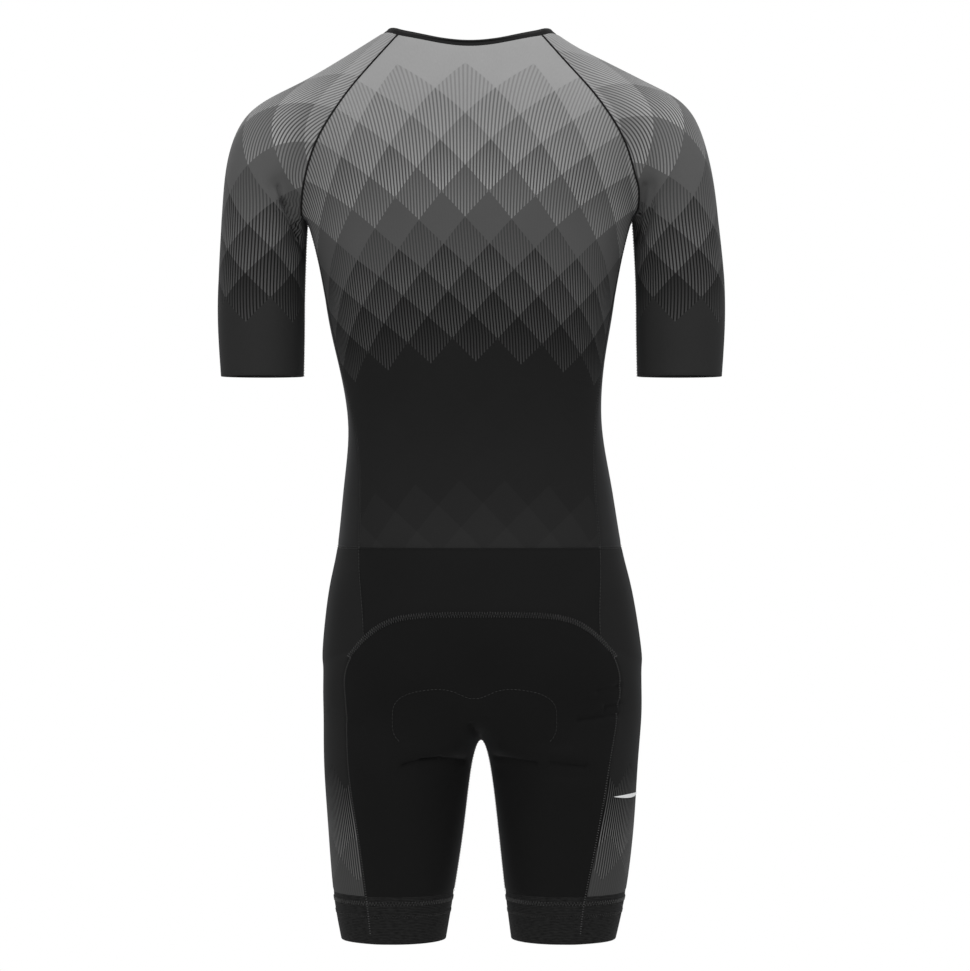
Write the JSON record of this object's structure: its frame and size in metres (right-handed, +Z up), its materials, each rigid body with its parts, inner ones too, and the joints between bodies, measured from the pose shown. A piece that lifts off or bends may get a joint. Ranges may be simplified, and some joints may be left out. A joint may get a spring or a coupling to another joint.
{
  "type": "triathlon suit",
  "caption": "One-piece short-sleeved triathlon suit with raglan sleeves, front zip, seat panel and leg grippers, hollow worn form with no wearer.",
  "frame": {"origin": "base of the neck, midway between the shoulders", "axes": "+Z up along the suit, +Y out of the wearer's back, +X to the wearer's left"},
  "size_m": [0.5324, 0.2377, 0.9535],
  "materials": {
    "print_knit": "matt knit, light grey at the shoulders fading to near black in a diamond and pinstripe print",
    "plain_knit": "matt stretch knit",
    "seat_knit": "dense matt stretch knit",
    "thigh_knit": "matt stretch knit with fine hatched lines towards the hem",
    "binding": "folded elastic binding",
    "gripper_knit": "ribbed elastic band",
    "zip_tape": "woven tape",
    "zip_metal": "dark lacquered zinc",
    "reflective": "silver reflective tape"
  },
  "bodies": {
    "suit": {"back_panel": "print_knit", "front_left": "plain_knit", "front_right": "plain_knit", "side_panel_left": "plain_knit", "side_panel_right": "plain_knit", "sleeve_left": "print_knit", "sleeve_right": "print_knit", "neck_binding": "binding", "seat_yoke": "plain_knit", "seat_panel": "seat_knit", "thigh_side_left": "thigh_knit", "thigh_side_right": "thigh_knit", "front_lower": "plain_knit", "gripper_left": "gripper_knit", "gripper_right": "gripper_knit", "zip_tape_left": "zip_tape", "zip_tape_right": "zip_tape", "reflective_tab": "reflective", "zip_slider": "zip_metal"},
    "pull": {"zip_pull": "zip_metal"}
  },
  "joints": [
    {"name": "pull_swing", "type": "hinge", "parent": "suit", "child": "pull", "pos_m": [0, -0.08357, -0.06635], "axis": [-1, 0, 0], "range_deg": [0, 160]}
  ]
}
